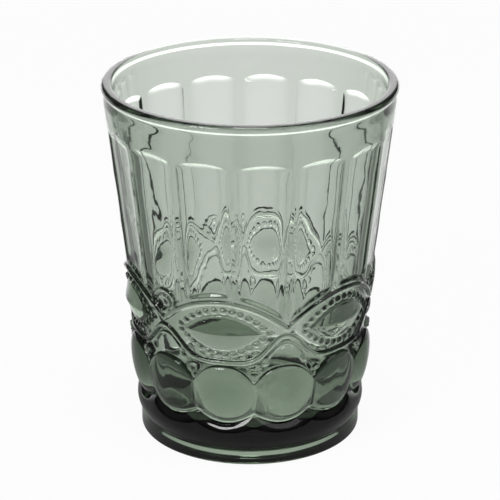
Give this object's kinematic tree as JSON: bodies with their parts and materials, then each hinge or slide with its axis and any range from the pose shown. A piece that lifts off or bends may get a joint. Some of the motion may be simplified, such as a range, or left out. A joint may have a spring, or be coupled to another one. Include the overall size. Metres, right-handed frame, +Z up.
{
  "type": "tumbler",
  "caption": "Pressed smoke-glass tumbler: fluted wall, belt of eye medallions between ribs, row of round balls, thick base and plain foot.",
  "frame": {"origin": "centre of the flat ring that the foot stands on", "axes": "+Z up along the axis of the tumbler, towards its open rim; the middle of one eye of the belt faces -Y"},
  "size_m": [0.08, 0.08, 0.1],
  "materials": {
    "smoke_glass": "fire-polished pressed glass, grey-green smoke tint that deepens with thickness"
  },
  "bodies": {
    "root": {"glass_body": "smoke_glass"}
  },
  "joints": []
}
